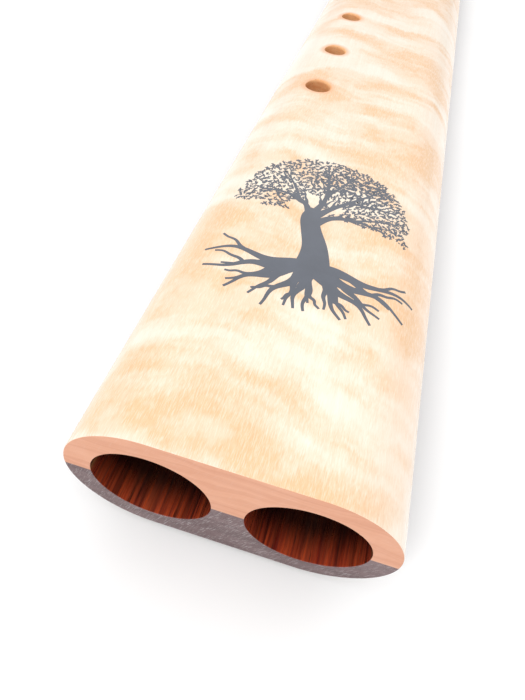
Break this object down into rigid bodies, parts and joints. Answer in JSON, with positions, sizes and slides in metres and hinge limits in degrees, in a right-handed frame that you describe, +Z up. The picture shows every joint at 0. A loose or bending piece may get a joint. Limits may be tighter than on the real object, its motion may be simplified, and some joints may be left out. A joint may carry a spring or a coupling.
{
  "type": "drone flute",
  "caption": "Flat-oval wooden drone flute with side-by-side bores, finger holes over the melody bore, an inlaid tree near the foot, and saddle blocks tied down by a leather lace.",
  "frame": {"origin": "on the resting surface under the middle of the flute, at the lowest line of the leather lace", "axes": "+Z up through the top board, +Y along the bores from the open foot (-Y) to the mouthpiece (+Y), +X across towards the drone bore"},
  "size_m": [0.0634, 0.61, 0.0471],
  "materials": {
    "figured_maple": "curly maple under a clear satin coat",
    "walnut": "walnut, clear coated outside and in the bores, sanded matte at the foot",
    "dark_resin": "dark resin levelled flush and coated with the top",
    "plug_wood": "plain sealed cedar",
    "plate_brass": "thin brushed brass",
    "block_walnut": "oiled walnut",
    "lace_leather": "soft brown leather lace",
    "mouthpiece_walnut": "walnut under a clear satin coat"
  },
  "bodies": {
    "flute_body": {"upper_board": "figured_maple", "lower_board": "walnut", "tree_inlay": "dark_resin", "melody_plug": "plug_wood", "drone_plug": "plug_wood", "melody_plate": "plate_brass", "drone_plate": "plate_brass", "leather_lace": "lace_leather", "mouthpiece": "mouthpiece_walnut"},
    "melody_slider": {"melody_block": "block_walnut"},
    "drone_slider": {"drone_block": "block_walnut"}
  },
  "joints": [
    {"name": "melody_block_slide", "type": "slide", "parent": "flute_body", "child": "melody_slider", "axis": [0, 1, 0], "range_m": [-0.003, 0.003]},
    {"name": "drone_block_slide", "type": "slide", "parent": "flute_body", "child": "drone_slider", "axis": [0, 1, 0], "range_m": [-0.003, 0.003]}
  ]
}
